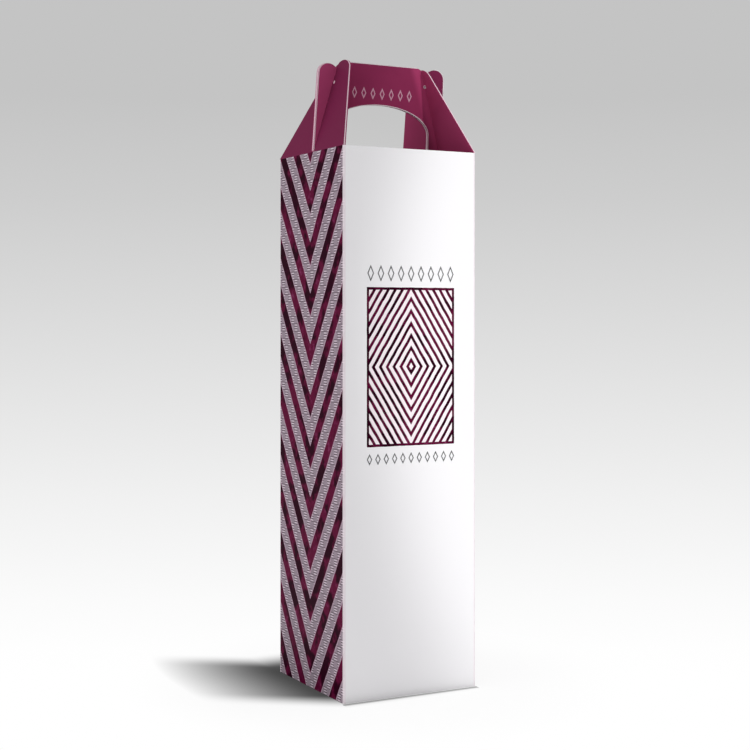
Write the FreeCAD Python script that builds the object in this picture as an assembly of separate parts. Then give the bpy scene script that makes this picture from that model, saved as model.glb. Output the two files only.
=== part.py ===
import FreeCAD, Part
import math
import os

os.makedirs("parts", exist_ok=True)

V = FreeCAD.Vector

# Driving dimensions, in millimetres.
BOX_WIDTH = 90.0
BOX_DEPTH = 90.0
BOX_HEIGHT = 325.0
BOARD = 1.2
FOLD_RADIUS = 1.1

# Handle and fin sheet, standing across the box close to its middle and tilting forwards a little.
HANDLE_HEIGHT = 56.0
HANDLE_SETBACK = -3.2
HANDLE_TILT = 0.06
LAYER_GAP = 0.2
HOLE_HALF_WIDTH = 34.4
HOLE_SPRING = 14.4
HOLE_TOP = 31.0
LEG_TUCK = 12.0
HANDLE_CORNER = 7.0
LOBE_RADIUS = 6.2
LEFT_FIN_INSET = 2.1
LEFT_FIN_DROP = 1.8
RIGHT_FIN_INSET = 0.2
RIGHT_FIN_DROP = 0.2

# Gusset wings, leaning inwards from the top edges of the side walls. A lobe is measured from
# the crease to the wing's free edge; a drop lies below the top of the handle.
LEAN = 0.28
FRONT_LEFT_LOBE = 18.0
FRONT_RIGHT_LOBE = 7.8
REAR_LEFT_LOBE = 7.6
REAR_RIGHT_LOBE = 18.2
RIM_DROP = 5.2
BROAD_LOBE_DROP = 0.8
NARROW_LOBE_DROP = 2.2
FLAT_LOBE_DROP = 4.0
LOBE_BACK_DROP = 1.3
LEFT_RELIEF_HEIGHT = 42.8
RIGHT_RELIEF_HEIGHT = 44.4
RELIEF_RADIUS = 0.8
RELIEF_OFFSET = 1.4

# Bottom, made of two crossed pairs of flaps.
BOTTOM_GAP = 0.6
GLUE_FLAP = 14.0

# Values that follow from the ones above.
TILT_ANGLE = math.atan(HANDLE_TILT)
HALF_SHEET = BOARD + LAYER_GAP / 2
SHEET_RISE = (HANDLE_HEIGHT - HALF_SHEET * math.sin(TILT_ANGLE)) / math.cos(TILT_ANGLE)
HALF_W = BOX_WIDTH / 2
HALF_D = BOX_DEPTH / 2
VALLEY = HANDLE_HEIGHT - 3.4
NOTCH = HANDLE_HEIGHT - 3.9
CREASE_TOP_X = HALF_W - LEAN * VALLEY


def block(x0, x1, y0, y1, z0, z1):
    """Axis-aligned block between two corners."""
    return Part.makeBox(x1 - x0, y1 - y0, z1 - z0, V(x0, y0, z0))


def arc(a, b, c):
    """Circular edge from a to c by way of b."""
    return Part.Arc(a, b, c).toShape()


def prism(edges, direction):
    """Closed outline swept along a direction."""
    return Part.Face(Part.Wire(edges)).extrude(direction)


def shell_of_walls():
    """Four walls of the sleeve with softly folded upright edges."""
    outer = block(-HALF_W, HALF_W, -HALF_D, HALF_D, 0, BOX_HEIGHT)
    upright = []
    for edge in outer.Edges:
        ends = [vertex.Point for vertex in edge.Vertexes]
        if abs(ends[0].z - ends[1].z) > BOX_HEIGHT / 2:
            upright.append(edge)
    outer = outer.makeFillet(FOLD_RADIUS, upright)
    inner = block(
        -HALF_W + BOARD, HALF_W - BOARD, -HALF_D + BOARD, HALF_D - BOARD, -1, BOX_HEIGHT + 1
    )
    return outer.cut(inner)


def glue_seam():
    """Strip inside the rear left fold that closes the sleeve."""
    y1 = HALF_D - BOARD
    return block(
        -HALF_W + BOARD, -HALF_W + 2 * BOARD, y1 - GLUE_FLAP, y1, 2 * BOARD + 2, BOX_HEIGHT - 4
    )


def bottom_flaps():
    """Front and rear flaps below, left and right flaps above them."""
    reach_y = HALF_D - FOLD_RADIUS
    half_gap = BOTTOM_GAP / 2
    inner_x = HALF_W - BOARD
    front = block(-inner_x, inner_x, -reach_y, -half_gap, 0, BOARD)
    rear = block(-inner_x, inner_x, half_gap, reach_y, 0, BOARD)
    inner_y = HALF_D - BOARD - half_gap
    left = block(-inner_x, -half_gap, -inner_y, inner_y, BOARD, 2 * BOARD)
    right = block(half_gap, inner_x, -inner_y, inner_y, BOARD, 2 * BOARD)
    return [front, rear, left, right]


def layer_end(y, fin_inset, fin_drop):
    """Right end of a handle layer: its corner, crease top, fin and leg."""
    base = BOX_HEIGHT
    top = base + SHEET_RISE
    foot = base - LEG_TUCK
    spring = base + HOLE_SPRING
    inside = HALF_W - BOARD

    drop = SHEET_RISE - VALLEY
    corner_radius = (HANDLE_CORNER ** 2 + drop ** 2) / (2 * drop)
    turn = 0.5 * math.asin(HANDLE_CORNER / corner_radius)
    shoulder = V(CREASE_TOP_X - HANDLE_CORNER, y, top)
    bend = V(
        shoulder.x + corner_radius * math.sin(turn), y, top - corner_radius * (1 - math.cos(turn))
    )
    valley = V(CREASE_TOP_X, y, base + VALLEY)

    rim_x = HALF_W - fin_inset
    fin_top = HANDLE_HEIGHT - fin_drop
    notch = V(CREASE_TOP_X + 1.2, y, base + NOTCH)
    lobe_top = V(rim_x - LOBE_RADIUS, y, base + fin_top)
    lobe_in = V((notch.x + lobe_top.x) / 2, y, base + 0.73 * fin_top + 0.27 * NOTCH)
    lobe_out = V(rim_x, y, base + fin_top - LOBE_RADIUS)
    cut = LOBE_RADIUS * (1 - math.sqrt(0.5))
    lobe_mid = V(rim_x - cut, y, base + fin_top - cut)

    return [
        Part.makeLine(V(0, y, top), shoulder),
        arc(shoulder, bend, valley),
        Part.makeLine(valley, notch),
        arc(notch, lobe_in, lobe_top),
        arc(lobe_top, lobe_mid, lobe_out),
        Part.makeLine(lobe_out, V(HALF_W, y, base)),
        Part.makeLine(V(HALF_W, y, base), V(inside, y, base)),
        Part.makeLine(V(inside, y, base), V(inside, y, foot)),
        Part.makeLine(V(inside, y, foot), V(HOLE_HALF_WIDTH, y, foot)),
        Part.makeLine(V(HOLE_HALF_WIDTH, y, foot), V(HOLE_HALF_WIDTH, y, spring)),
    ]


def handle_layer(y, depth):
    """One layer of the handle with a fin at each end and the arched hand hole."""
    right = layer_end(y, RIGHT_FIN_INSET, RIGHT_FIN_DROP)
    left = layer_end(y, LEFT_FIN_INSET, LEFT_FIN_DROP)
    left = [edge.mirror(V(0, 0, 0), V(1, 0, 0)) for edge in left]

    base = BOX_HEIGHT
    spring = base + HOLE_SPRING
    points = []
    steps = 24
    for i in range(steps + 1):
        angle = math.pi * i / steps
        x = HOLE_HALF_WIDTH * math.cos(angle)
        z = spring + (HOLE_TOP - HOLE_SPRING) * math.sin(angle)
        points.append(V(x, y, z))
    arch = Part.BSplineCurve()
    arch.interpolate(points)

    edges = Part.__sortEdges__([arch.toShape()] + right + left)
    layer = prism(edges, V(0, depth, 0))
    layer.rotate(V(0, HANDLE_SETBACK, base), V(1, 0, 0), math.degrees(TILT_ANGLE))
    return layer


def wing_outline(crease_y, drift, width, lobe_drop, back_drop):
    """Front wing seen from the side, swept across half the box; its crease drifts in y."""

    def at(y, z):
        return V(0, y, BOX_HEIGHT + z)

    rim_height = HANDLE_HEIGHT - RIM_DROP
    valley_y = crease_y + drift * NOTCH
    rim_y = valley_y - width
    corner = at(-HALF_D, 0)
    rim = at(rim_y, rim_height)
    lobe_top = at(rim_y + 0.45 * width, HANDLE_HEIGHT - lobe_drop)
    lobe_back = at(rim_y + 0.86 * width, HANDLE_HEIGHT - back_drop)
    valley = at(valley_y, NOTCH)
    edges = [
        Part.makeLine(corner, rim),
        arc(rim, lobe_top, lobe_back),
        Part.makeLine(lobe_back, valley),
        Part.makeLine(valley, at(crease_y, 0)),
        Part.makeLine(at(crease_y, 0), corner),
    ]
    return prism(edges, V(HALF_W + 1, 0, 0))


def lean_slab():
    """Leaning board that rises from the top edge of the right side wall."""
    rise = HANDLE_HEIGHT + 2
    z0 = BOX_HEIGHT
    across = BOARD * math.sqrt(1 + LEAN * LEAN)
    corners = [
        V(HALF_W, -HALF_D - 1, z0),
        V(HALF_W - LEAN * rise, -HALF_D - 1, z0 + rise),
        V(HALF_W - LEAN * rise - across, -HALF_D - 1, z0 + rise),
        V(HALF_W - across, -HALF_D - 1, z0),
        V(HALF_W, -HALF_D - 1, z0),
    ]
    return Part.Face(Part.makePolygon(corners)).extrude(V(0, BOX_DEPTH + 2, 0))


def side_wings(front_shape, rear_shape):
    """Front and rear wings over the right side wall; a shape is a lobe and two drops."""
    slab = lean_slab()
    front_y = HANDLE_SETBACK - HALF_SHEET + BOARD
    rear_y = -HANDLE_SETBACK - HALF_SHEET + BOARD
    front = wing_outline(front_y, -HANDLE_TILT, *front_shape)
    rear = wing_outline(rear_y, HANDLE_TILT, *rear_shape).mirror(V(0, 0, 0), V(0, 1, 0))
    return [front.common(slab), rear.common(slab)]


def wings():
    """All four wings, each with its own shape."""
    right = side_wings(
        (FRONT_RIGHT_LOBE, NARROW_LOBE_DROP, LOBE_BACK_DROP),
        (REAR_RIGHT_LOBE, NARROW_LOBE_DROP, LOBE_BACK_DROP),
    )
    left = side_wings(
        (FRONT_LEFT_LOBE, BROAD_LOBE_DROP, LOBE_BACK_DROP),
        (REAR_LEFT_LOBE, FLAT_LOBE_DROP, FLAT_LOBE_DROP),
    )
    return right + [piece.mirror(V(0, 0, 0), V(1, 0, 0)) for piece in left]


def relief_holes():
    """Small round holes at the upper ends of the two creases."""
    reach = 2 * HALF_SHEET + 2 * RELIEF_RADIUS
    tools = []
    for side, height in ((-1, LEFT_RELIEF_HEIGHT), (1, RIGHT_RELIEF_HEIGHT)):
        x = side * (HALF_W - LEAN * height - RELIEF_OFFSET)
        y = HANDLE_SETBACK - HANDLE_TILT * height - reach / 2
        tools.append(Part.makeCylinder(RELIEF_RADIUS, reach, V(x, y, BOX_HEIGHT + height), V(0, 1, 0)))
    return tools


def carton():
    """Whole folded box as one piece of board."""
    rear_start = HANDLE_SETBACK + LAYER_GAP / 2
    front_start = HANDLE_SETBACK - LAYER_GAP / 2 - BOARD
    pieces = [glue_seam()]
    pieces += bottom_flaps()
    pieces.append(handle_layer(front_start, BOARD))
    pieces.append(handle_layer(rear_start, BOARD))
    pieces += wings()
    body = shell_of_walls().fuse(pieces)
    for tool in relief_holes():
        body = body.cut(tool)
    return body.removeSplitter()


shape = carton()
if len(shape.Solids) != 1:
    raise ValueError("the folded box should be one solid, found %d" % len(shape.Solids))
if not shape.isValid():
    raise ValueError("the folded box is not a valid shape")
shape.Solids[0].exportStep("parts/carton.step")
box = shape.BoundBox
print("carton", round(box.XLength, 3), round(box.YLength, 3), round(box.ZLength, 3))
print("volume_mm3", round(shape.Volume, 1))
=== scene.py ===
import math

import bpy
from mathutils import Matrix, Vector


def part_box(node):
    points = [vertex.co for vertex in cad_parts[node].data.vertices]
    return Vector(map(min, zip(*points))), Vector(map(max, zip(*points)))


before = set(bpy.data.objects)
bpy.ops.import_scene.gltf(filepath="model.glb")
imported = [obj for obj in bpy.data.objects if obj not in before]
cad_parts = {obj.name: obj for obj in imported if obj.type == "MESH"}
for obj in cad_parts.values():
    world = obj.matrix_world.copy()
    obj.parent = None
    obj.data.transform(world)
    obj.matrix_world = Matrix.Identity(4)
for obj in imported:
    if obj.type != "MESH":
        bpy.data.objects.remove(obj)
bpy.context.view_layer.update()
bpy.context.scene.view_settings.view_transform = "Standard"

# Sizes of the box in millimetres, taken from its solid.
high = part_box("carton")[1]
HALF_W = 1000 * high[0]
HALF_D = 1000 * high[1]
TOTAL = 1000 * high[2]
HANDLE_HEIGHT = 56.0
HEIGHT = TOTAL - HANDLE_HEIGHT
BOARD = 1.2
LEG_TUCK = 12.0

# The wings lean inwards and the handle sheet tilts forwards, per millimetre of height.
LEAN = 0.28
HANDLE_Y = -3.2
HANDLE_TILT = 0.06

# Round lobes of the fins, and how much further out and up the right one stands.
LOBE_RADIUS = 6.2
LOBE_X = HALF_W - 8.3
LOBE_RISE = 48.0
LOBE_SHIFT_X = 1.9
LOBE_SHIFT_RISE = 1.6

# How far the fins' outer edges lean in, and the direction in which a wing's outer face looks.
FIN_SLOPE = 0.0438
FIN_SLOPE_SHIFT = 0.0398
WING_OUTWARDS = 0.962
WING_UPWARDS = 0.274

# Relief holes at the tops of the creases; the right one stands higher.
RELIEF_RISE = 42.8
RELIEF_SHIFT = 1.6
RELIEF_OFFSET = 1.4
RELIEF_RADIUS = 1.05

# Pale dot on the outer face of the left front wing.
DOT_Y = -8.8
DOT_RISE = 42.4
DOT_RADIUS = 0.95

# Hand hole, as an ellipse on straight legs.
HOLE_HALF_WIDTH = 34.4
HOLE_SPRING = 14.4
HOLE_ARCH = 16.6

# Print on the side walls: pitch, slope and edges of the zigzag bands and of the halo beside
# them, and the size of the woven blocks.
BAND_PITCH = 31.0
BAND_SLOPE = 1.55
BAND_EDGE = (0.235, 0.215)
HALO_EDGE = (0.30, 0.24)
WEAVE_SIZE = 4.6

# Framed panel on the front wall.
PANEL_Z = 195.5
PANEL_HALF_X = 29.8
PANEL_HALF_Z = 47.0
PANEL_FRAME = 1.5
PANEL_RINGS = 3.2

# Rows of small lozenges above and below the panel and on the handle: middle over x and z,
# count, pitch, half width, half height and the line's share of it.
ROW_ABOVE = (0.0, 250.7, 9, 6.8, 2.3, 5.2, 0.16)
ROW_BELOW = (0.0, 141.2, 11, 5.6, 1.8, 3.4, 0.2)
ROW_HANDLE = (1.0, 362.8, 7, 6.4, 1.7, 3.6, 0.22)


def linear(rgb):
    """Display colour in 0 to 255 as the linear colour that a shader takes."""
    out = []
    for value in rgb:
        value /= 255
        out.append(value / 12.92 if value <= 0.04045 else ((value + 0.055) / 1.055) ** 2.4)
    return tuple(out) + (1.0,)


class Term:
    """A socket that adds, multiplies and compares like a number."""

    def __init__(self, nodes, socket):
        self.nodes = nodes
        self.socket = socket

    def math(self, kind, *others):
        return self.nodes.add("Math", {"operation": kind}, dict(enumerate((self,) + others)))

    def __add__(self, other):
        return self.math("ADD", other)

    def __sub__(self, other):
        return self.math("SUBTRACT", other)

    def __mul__(self, other):
        return self.math("MULTIPLY", other)

    def __truediv__(self, other):
        return self.math("DIVIDE", other)

    def __rsub__(self, other):
        return self.math("MULTIPLY_ADD", -1.0, other)

    def __rtruediv__(self, other):
        return self.math("POWER", -1.0) * other

    __radd__ = __add__
    __rmul__ = __mul__

    def abs(self):
        return self.math("ABSOLUTE")

    def floor(self):
        return self.math("FLOOR")

    def fract(self):
        return self.math("FRACT")

    def min(self, other):
        return self.math("MINIMUM", other)

    def max(self, other):
        return self.math("MAXIMUM", other)

    def above(self, other):
        return self.math("GREATER_THAN", other)

    def below(self, other):
        return self.math("LESS_THAN", other)

    def step(self, start, end):
        """Smooth rise from 0 at start to 1 at end; it falls where end is the lower one."""
        levels = (0.0, 1.0) if end > start else (1.0, 0.0)
        values = dict(enumerate((self, min(start, end), max(start, end)) + levels))
        return self.nodes.add("MapRange", {"interpolation_type": "SMOOTHSTEP"}, values)


def length(a, b):
    """Distance over two directions."""
    return (a * a + b * b).math("SQRT")


def set_stops(ramp, stops):
    """Grey stops of a colour ramp, as places and levels, from its start to its end."""
    ramp.elements[0].color = (stops[0][1],) * 3 + (1,)
    ramp.elements[1].color = (stops[-1][1],) * 3 + (1,)
    for place, level in stops[1:-1]:
        ramp.elements.new(place).color = (level, level, level, 1)


class Nodes:
    """Node tree of a material or a world, with one method for any node."""

    def __init__(self, owner):
        owner.use_nodes = True
        self.tree = owner.node_tree
        self.tree.nodes.clear()

    def add(self, kind, settings=None, values=None, output=0):
        """Node of any type: its settings, then the values or links of its sockets."""
        node = self.tree.nodes.new("ShaderNode" + kind)
        for name, setting in (settings or {}).items():
            if name == "stops":
                set_stops(node.color_ramp, setting)
            else:
                setattr(node, name, setting)
        for name, value in (values or {}).items():
            if isinstance(value, Term):
                self.tree.links.new(value.socket, node.inputs[name])
            else:
                node.inputs[name].default_value = value
        return Term(self, node.outputs[output]) if node.outputs else None

    def coordinates(self, kind):
        """Three numbers of one kind of texture coordinates."""
        return self.split(self.add("TexCoord", output=kind))

    def split(self, vector):
        first = self.add("SeparateXYZ", None, {0: vector})
        return [Term(self, out) for out in first.socket.node.outputs]

    def join(self, x, y, z):
        return self.add("CombineXYZ", None, {"X": x, "Y": y, "Z": z})

    def noise(self, vector, size, detail=2.0, rough=0.5):
        values = {"Vector": vector, "Scale": 1.0 / size, "Detail": detail, "Roughness": rough}
        return self.add("TexNoise", None, values, "Fac")

    def blend(self, factor, first, second):
        """Colour between two colours."""
        return self.add("Mix", {"data_type": "RGBA"}, {0: factor, 6: first, 7: second}, 2)


CRIMSON = linear((141, 48, 86))
CRIMSON_DEEP = linear((130, 43, 80))
# Lighter and darker copies of the crimson, used as painted light and shade on the folded top.
CRIMSON_PAINTED_LIGHT = linear((172, 64, 108))
CRIMSON_PAINTED_SHADE = linear((117, 38, 73))
CRIMSON_FIN_PAINTED_LIGHT = linear((172, 68, 112))
CUT_EDGE = linear((232, 205, 216))
CUT_SEAM = linear((176, 128, 150))
# Pale of the painted highlights along the folds and the sheet's edges.
PALE_PAINTED_HIGHLIGHT = linear((244, 234, 240))
MARK_PALE = linear((214, 170, 190))
WHITE = linear((250, 249, 251))
PANEL_WHITE = linear((255, 244, 249))
BARE = linear((232, 226, 222))
STRIPE = linear((94, 14, 52))
STRIPE_DARK = linear((42, 0, 22))
STRIPE_PALE = linear((126, 48, 88))
GROUND = linear((172, 156, 168))
GROUND_LINE = linear((92, 78, 88))
GROUND_LIGHT = linear((236, 222, 232))
GROUND_PINK = linear((198, 164, 184))
GREY_INK = linear((92, 92, 94))


def weave(u, v, size):
    """Basket weave of small three-strand blocks: dark lines and light strands at u, v."""
    a = u / size
    b = v / size
    turn = (((a.floor() + b.floor()) * 0.5).fract() * 2.0).above(0.5)
    along = a.fract() * turn + b.fract() * (1.0 - turn)
    across = b.fract() * turn + a.fract() * (1.0 - turn)
    strand = ((across * 3.0).fract() - 0.5).abs() * 2.0
    line = strand.step(0.40, 0.85)
    ends = ((along - 0.5).abs() * 2.0).step(0.74, 0.98)
    light = (1.0 - strand).step(0.40, 0.85) * (turn * 0.75 + 0.25) * (1.0 - ends)
    return line.max(ends * 0.6), light


def watercolour(s, vector):
    """Stripe ink with darker and paler pools."""
    pools = s.noise(vector, 13.0, 3.0, 0.55)
    veins = s.noise(vector, 4.0, 4.0, 0.6)
    colour = s.blend(pools.step(0.42, 0.56), STRIPE_DARK, STRIPE)
    return s.blend(veins.step(0.52, 0.72) * pools.step(0.46, 0.62), colour, STRIPE_PALE)


def side_print(s, y, z, spot, ink):
    """Zigzag bands over a basket-weave ground, and how deep its lines are pressed in."""
    wobble = (s.noise(spot, 9.0, 2.0) - 0.5) * 1.6
    fold = ((y / (2 * HALF_D) + 0.5).fract() - 0.5).abs() * (2 * HALF_D)
    band = ((z - fold * BAND_SLOPE + wobble) / BAND_PITCH).fract()
    off_middle = (band - 0.5).abs()
    stripe = off_middle.step(*BAND_EDGE)
    halo = off_middle.step(*HALO_EDGE)
    line, light = weave(y, z, WEAVE_SIZE)
    ground = s.blend(line, GROUND, GROUND_LINE)
    ground = s.blend(light * (0.35 + s.noise(spot, 5.0) * 0.7), ground, GROUND_LIGHT)
    ground = s.blend(halo * 0.7, ground, GROUND_PINK)
    return s.blend(stripe, ground, ink), line * (1.0 - stripe)


def lozenge_row(x, z, middle_x, middle_z, count, pitch, half, tall, thick):
    """Row of small open lozenges: 1 on their lines."""
    shift = 0.5 if count % 2 else 0.0
    cell = ((x - middle_x) / pitch + shift).fract() - 0.5
    reach = (cell.abs() * pitch) / half + (z - middle_z).abs() / tall
    ring = (reach - 0.8).abs().below(thick)
    return ring * (x - middle_x).abs().below(count * pitch / 2)


def front_print(s, x, z, spot, ink):
    """Framed panel of nested lozenges, with a row of small lozenges above and below."""
    dx = x.abs()
    dz = (z - PANEL_Z).abs()
    inside = dx.below(PANEL_HALF_X) * dz.below(PANEL_HALF_Z)
    edge = (dx - PANEL_HALF_X).max(dz - PANEL_HALF_Z) + (s.noise(spot, 5.0) - 0.5) * 0.5
    frame_line = edge.above(-PANEL_FRAME) * edge.below(0.0)
    rings = (dx / (PANEL_HALF_X / 2) + dz / (PANEL_HALF_Z / 2)) * PANEL_RINGS
    nest = (rings + (s.noise(spot, 7.0) - 0.5) * 0.2).fract()
    bars = (nest - 0.5).abs().step(0.25, 0.20)
    panel = s.blend(bars.max(frame_line), PANEL_WHITE, ink)
    front = s.blend(inside.max(frame_line), WHITE, panel)
    marks = lozenge_row(x, z, *ROW_ABOVE)
    marks = marks.max(lozenge_row(x, z, *ROW_BELOW))
    return s.blend(marks, front, GREY_INK)


def folded_top(s, place, facing, crimson):
    """Crimson wings, handle sheet and fins, with their pale cut edges and small marks."""
    x, y, z = place
    nx, ny, nz = facing
    rise = z - HEIGHT
    right = x.above(0.0)
    from_wing = x.abs() + rise * LEAN - HALF_W
    on_wing = from_wing.above(-1.45) * from_wing.below(0.2)
    sheet = (y + rise * HANDLE_TILT - HANDLE_Y).abs()
    on_sheet = sheet.below(BOARD + 0.35)
    outwards = nx * x.math("SIGN")
    flat = ny.abs()

    # Cut edges of the wings and of the two-layer sheet, with the seam between its layers.
    across = (outwards * WING_OUTWARDS + nz * WING_UPWARDS).abs()
    wing_cut = on_wing * from_wing.above(-0.65) * across.below(0.6) * (1.0 - on_sheet)
    sheet_cut = sheet.below(0.75) * flat.below(0.55) * (1.0 - on_wing * across.above(0.6))
    cut = s.blend(sheet.below(0.16) * on_sheet, CUT_EDGE, CUT_SEAM)

    # Relief holes at both creases, and the pale dot beside the left one on the wing.
    hole_rise = right * RELIEF_SHIFT + RELIEF_RISE
    hole_x = x.abs() + hole_rise * LEAN - (HALF_W - RELIEF_OFFSET)
    dots = length(hole_x, rise - hole_rise).below(RELIEF_RADIUS) * sheet.below(2.4)
    wing_dot = length(y - DOT_Y, rise - DOT_RISE).below(DOT_RADIUS)
    dots = dots.max(wing_dot * x.below(0.0) * outwards.above(0.6) * on_wing)

    # Faces of the sheet carry a painted highlight, pale within half a millimetre of its edges.
    lobe_x = x.abs() - right * LOBE_SHIFT_X - LOBE_X
    lobe_z = rise - right * LOBE_SHIFT_RISE - LOBE_RISE
    inner_radius = LOBE_RADIUS - 0.5
    lobe = length(lobe_x, lobe_z).above(inner_radius) * lobe_x.above(0.0) * lobe_z.above(0.0)
    lobe = lobe.max(lobe_x.above(-3.0) * lobe_x.below(0.05) * lobe_z.above(inner_radius))
    slope = FIN_SLOPE - right * FIN_SLOPE_SHIFT
    rim = (x.abs() + rise * slope).above(HALF_W - 0.45)
    arch = length(x.abs() / HOLE_HALF_WIDTH, (rise - HOLE_SPRING).max(0.0) / HOLE_ARCH).below(1.014)
    top_edge = z.above(TOTAL - 0.6)
    edge_highlight = lobe.max(rim).max(arch).max(top_edge) * sheet.below(1.5) * flat.above(0.55)

    # Painted light and shade: the wings' inner faces, the left fin and the legs beside the creases
    # are painted a lighter crimson, and the wings' outer faces and the right fin a darker one, in
    # place of light and shade the lamps don't give.
    crimson = s.blend(on_wing * outwards.below(-0.6), crimson, CRIMSON_PAINTED_LIGHT)
    crimson = s.blend(on_wing * outwards.above(0.6), crimson, CRIMSON_PAINTED_SHADE)
    fin = from_wing.above(0.1) * on_sheet
    crimson = s.blend(fin, crimson, CRIMSON_FIN_PAINTED_LIGHT)
    crimson = s.blend(fin * right, crimson, CRIMSON_PAINTED_SHADE)
    leg_painted_light = (x.abs() + rise * 0.35).step(38.0, 44.0) * from_wing.below(-1.3)
    crimson = s.blend(leg_painted_light * on_sheet, crimson, CRIMSON_PAINTED_LIGHT)

    marks = lozenge_row(x, z, *ROW_HANDLE) * on_sheet * flat.above(0.5)
    crimson = s.blend(marks * 0.8, crimson, MARK_PALE)
    # Painted highlight along the sheet's edges, lobes, hand hole and top.
    crimson = s.blend(edge_highlight * 0.8, crimson, PALE_PAINTED_HIGHLIGHT)
    return s.blend(wing_cut.max(sheet_cut).max(dots), crimson, cut), on_sheet


def carton_material():
    material = bpy.data.materials.new("carton_board_print")
    s = Nodes(material)
    x, y, z = [metres * 1000.0 for metres in s.coordinates("Object")]
    nx, ny, nz = s.coordinates("Normal")
    spot = s.join(x, y, z)
    ink = watercolour(s, spot)

    side, pressed = side_print(s, y, z, spot, ink)
    front = front_print(s, x, z, spot, ink)
    front_or_rear = s.blend(ny.below(-0.5), WHITE, front)
    outer = s.blend(nx.abs().above(0.5), front_or_rear, side)

    # Inside faces are crimson; cut edges and the foot are bare board, and the folds carry a pale
    # painted highlight.
    within = x.abs().below(HALF_W - 0.6) * y.abs().below(HALF_D - 0.6)
    mottled = s.blend(s.noise(spot, 16.0, 3.0).step(0.35, 0.65) * 0.35, CRIMSON, CRIMSON_DEEP)
    folded, on_sheet = folded_top(s, (x, y, z), (nx, ny, nz), mottled)
    wall = s.blend(within, outer, mottled)
    # Painted highlight along the vertical folds.
    fold_highlight = x.abs().above(HALF_W - 1.3) * y.abs().above(HALF_D - 1.3)
    wall = s.blend(fold_highlight * 0.85, wall, PALE_PAINTED_HIGHLIGHT)
    wall = s.blend(z.above(HEIGHT - 0.05) * nz.above(0.7), wall, CUT_EDGE)
    wall = s.blend(z.below(0.05) * nz.below(-0.5), wall, BARE)
    leg = on_sheet * within * z.above(HEIGHT - LEG_TUCK - 0.5)
    wall = s.blend(leg * ny.abs().below(0.55), wall, CUT_EDGE)
    colour = s.blend(z.above(HEIGHT + 0.02), wall, folded)

    height = s.noise(spot, 0.5, 2.0) * 0.012 + s.noise(spot, 22.0, 1.0) * 0.25 - pressed * 0.01
    board = s.add("BsdfPrincipled", None, {
        "Base Color": colour,
        "Roughness": 0.34 + s.noise(spot, 6.0) * 0.10,
        "Specular IOR Level": 0.01,
        "Normal": s.add("Bump", None, {"Strength": 0.35, "Distance": 0.001, "Height": height}),
    })
    s.add("OutputMaterial", None, {"Surface": board})
    return material


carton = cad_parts["carton"]
carton.data.materials.clear()
carton.data.materials.append(carton_material())

# Camera as fitted to the photograph: place in metres, turn in radians, and the focal length
# and the horizon's row in pixels of a square picture.
PICTURE = 750
SENSOR = 36.0
CAM = (-0.43025, -0.80766, 0.22348)
YAW = 0.48907
FOCAL = 1470.4
HORIZON = 319.50
camera_data = bpy.data.cameras.new("camera")
camera_data.sensor_width = SENSOR
camera_data.lens = FOCAL / PICTURE * SENSOR
camera_data.shift_y = -(PICTURE / 2 - HORIZON) / PICTURE
camera = bpy.data.objects.new("camera", camera_data)
camera.location = CAM
camera.rotation_euler = (math.pi / 2, 0, -YAW)
bpy.context.scene.collection.objects.link(camera)
bpy.context.scene.camera = camera

# Backdrop levels down the picture, by row, from grey at the top to white at the foot.
LEVELS = ((100, 0.552), (200, 0.610), (300, 0.694), (400, 0.784), (450, 0.831), (500, 0.880),
          (550, 0.922), (600, 0.965), (650, 0.995), (680, 1.0))


def level_ramp(s, row):
    """Grey level for a row of the picture."""
    first, last = LEVELS[0][0], LEVELS[-1][0]
    stops = [((at - first) / (last - first), level) for at, level in LEVELS]
    return s.add("ValToRGB", {"stops": stops}, {0: (row - first) / (last - first)})


def seen_directly(s):
    """1 for camera, mirror and clear rays."""
    kinds = ("Is Camera Ray", "Is Glossy Ray", "Is Transmission Ray")
    camera_ray, glossy_ray, clear_ray = [s.add("LightPath", output=kind) for kind in kinds]
    return camera_ray.max(glossy_ray).max(clear_ray)


def studio_world():
    """Backdrop as the camera sees it, and plain light that is stronger from the left and above."""
    world = bpy.data.worlds.new("studio")
    s = Nodes(world)
    dx, dy, dz = s.coordinates("Generated")
    row = HORIZON - (dz / length(dx, dy).max(0.05)) * FOCAL
    shown = s.add("Background", None, {"Color": level_ramp(s, row)})
    strength = 0.29 + (0.0 - dx).max(0.0) * 0.75 + dz.max(0.0) * 0.35
    lighting = s.add("Background", None, {"Color": (1.0, 0.995, 1.0, 1), "Strength": strength})
    surface = s.add("MixShader", None, {0: seen_directly(s), 1: lighting, 2: shown})
    s.add("OutputWorld", None, {"Surface": surface})
    return world


bpy.context.scene.world = studio_world()


# Contact shadow beside the left wall: how far it reaches in metres, and how it slants back.
SHADOW_REACH = 0.070
SHADOW_SLANT = 0.68


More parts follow.
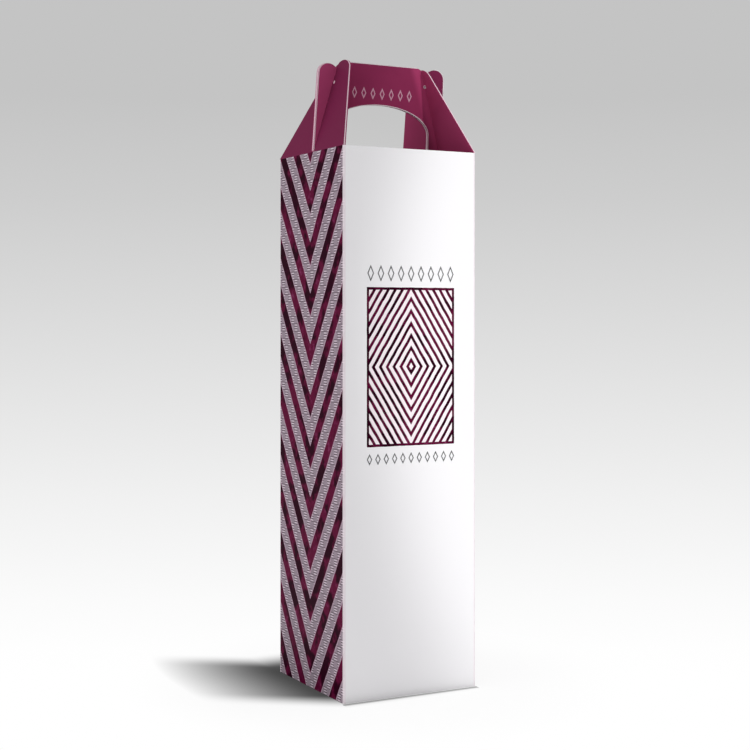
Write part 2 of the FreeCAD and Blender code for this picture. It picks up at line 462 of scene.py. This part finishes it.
def floor_material():
    """White floor with a painted contact shadow near the box, which also takes a little of the real
    shadow, and fades into the backdrop.
    """
    material = bpy.data.materials.new("studio_floor")
    s = Nodes(material)
    x, y, z = s.coordinates("Object")
    ahead = (x - CAM[0]) * math.sin(YAW) + (y - CAM[1]) * math.cos(YAW)
    level = level_ramp(s, HORIZON + CAM[2] * FOCAL / ahead.max(0.2))

    # Contact shadow of the box, deepest along the foot of its left wall, in metres.
    half = HALF_W / 1000
    left = (-half - x).max(0.0)
    back = y - left * SHADOW_SLANT
    behind = (y - half).max(0.0) * 0.5
    away = length(left, behind)
    reach = (away / SHADOW_REACH).min(1.0).math("POWER", 1.6) * 0.93 + 0.07
    front_edge = back.step(-0.056, -0.022)
    rear_edge = back.step(0.096, 0.056)
    dark = front_edge * rear_edge * x.step(half, -0.020)
    level = level * (1.0 - dark * (1.0 - reach))

    # Thin line of shade under the front wall.
    ahead_of_front = -half - y
    foot = ahead_of_front.step(0.0055, 0.0010) * ahead_of_front.above(0.0)
    foot = foot * x.above(-half - 0.001) * x.below(half + 0.0005)
    level = level * (1.0 - foot * 0.62)

    lit = s.add("BsdfDiffuse", None, {"Color": level})
    glow = s.add("Emission", None, {"Color": level})
    even = (0.88 + length(x, y).step(0.08, 0.16) * 0.12) * seen_directly(s)
    s.add("OutputMaterial", None, {"Surface": s.add("MixShader", None, {0: even, 1: lit, 2: glow})})
    return material


FLOOR_RADIUS = 5
FLOOR_SIDES = 64
turns = [2 * math.pi * i / FLOOR_SIDES for i in range(FLOOR_SIDES)]
ring = [(FLOOR_RADIUS * math.cos(turn), FLOOR_RADIUS * math.sin(turn), 0) for turn in turns]
floor_mesh = bpy.data.meshes.new("floor")
floor_mesh.from_pydata(ring, [], [list(range(FLOOR_SIDES))])
floor = bpy.data.objects.new("floor", floor_mesh)
floor.location = (0, 0, -0.0002)
bpy.context.scene.collection.objects.link(floor)
floor_mesh.materials.append(floor_material())


def hang(data, place, aim):
    """Lamp at a place, turned towards an aim."""
    lamp = bpy.data.objects.new(data.name, data)
    lamp.location = place
    dx, dy, dz = (aim[i] - place[i] for i in range(3))
    lamp.rotation_euler = (math.atan2(math.hypot(dx, dy), -dz), 0, math.atan2(dy, dx) - math.pi / 2)
    bpy.context.scene.collection.objects.link(lamp)
    return lamp


key = bpy.data.lights.new("key", "AREA")
key.shape = "RECTANGLE"
key.size = 1.0
key.size_y = 1.0
key.energy = 5.0
hang(key, (0.9, -0.1, 1.5), (0, 0, 0.1))

# Oval pool of light on the right half of the front, fading out before the foot.
POOL_RADIUS = 0.335
POOL_DISTANCE = 1.25
pool = bpy.data.lights.new("pool", "SPOT")
pool.energy = 24.0
pool.spot_size = 2 * math.atan(POOL_RADIUS / POOL_DISTANCE)
pool.spot_blend = 0.28
pool.shadow_soft_size = 0.03
hang(pool, (0.36, -1.28, 0.40), (0.212, -0.045, 0.220)).scale = (0.71, 1.0, 1.0)
